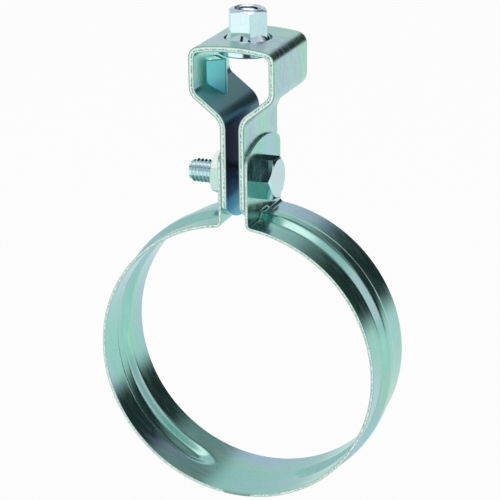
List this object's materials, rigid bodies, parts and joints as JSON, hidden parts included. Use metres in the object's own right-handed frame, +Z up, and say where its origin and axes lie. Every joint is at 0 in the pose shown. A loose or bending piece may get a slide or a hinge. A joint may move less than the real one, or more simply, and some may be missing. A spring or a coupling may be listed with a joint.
{
  "type": "pipe hanger",
  "caption": "Clevis-type pipe hanger: a beaded ring band clamped on a folded strap by a hexagon bolt, hung from a flanged turn nut that takes a threaded rod.",
  "frame": {"origin": "centre of the gripped pipe, in the middle of the band's width", "axes": "+Y runs along the pipe, +Z points up to the threaded rod, +X is the side of the bolt's head"},
  "size_m": [0.1212, 0.0364, 0.1998],
  "materials": {
    "plated_sheet": "bright zinc plate with a faint blue-green tint, mirror-like, on pressed steel sheet",
    "plated_fastener": "bright zinc plate on turned and forged steel"
  },
  "bodies": {
    "nut": {"turn_nut": "plated_fastener"},
    "strap": {"hanger_strap": "plated_sheet"},
    "band": {"ring_band": "plated_sheet", "clamp_bolt": "plated_fastener", "clamp_nut": "plated_fastener"}
  },
  "joints": [
    {"name": "strap_swivel", "type": "hinge", "parent": "nut", "child": "strap", "pos_m": [0, 0, 0.1302], "axis": [0, 0, 1], "continuous": true},
    {"name": "band_swing", "type": "hinge", "parent": "strap", "child": "band", "pos_m": [0, 0, 0.0736], "axis": [1, 0, 0], "range_deg": [-90, 90]}
  ]
}
